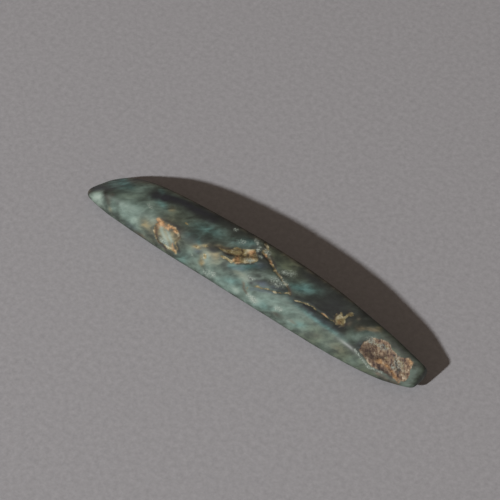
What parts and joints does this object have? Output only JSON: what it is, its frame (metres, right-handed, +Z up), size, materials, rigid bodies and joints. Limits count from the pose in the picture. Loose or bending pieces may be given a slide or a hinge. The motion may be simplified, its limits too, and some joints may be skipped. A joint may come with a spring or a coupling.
{
  "type": "greenstone chisel",
  "caption": "Slender ground greenstone chisel lying on its back, with a skewed bevel at the blade and a rough natural facet at the squared butt.",
  "frame": {"origin": "on the resting surface, below the middle of the stone's box", "axes": "+X along the stone to the butt, +Y to the far flank, +Z up out of the resting surface; the blade is at -X"},
  "size_m": [0.1204, 0.018, 0.0148],
  "materials": {
    "greenstone": "polished nephrite, mottled pale to black green, with rusty hollows and a rough skin at the butt"
  },
  "bodies": {
    "root": {"chisel": "greenstone"}
  },
  "joints": []
}
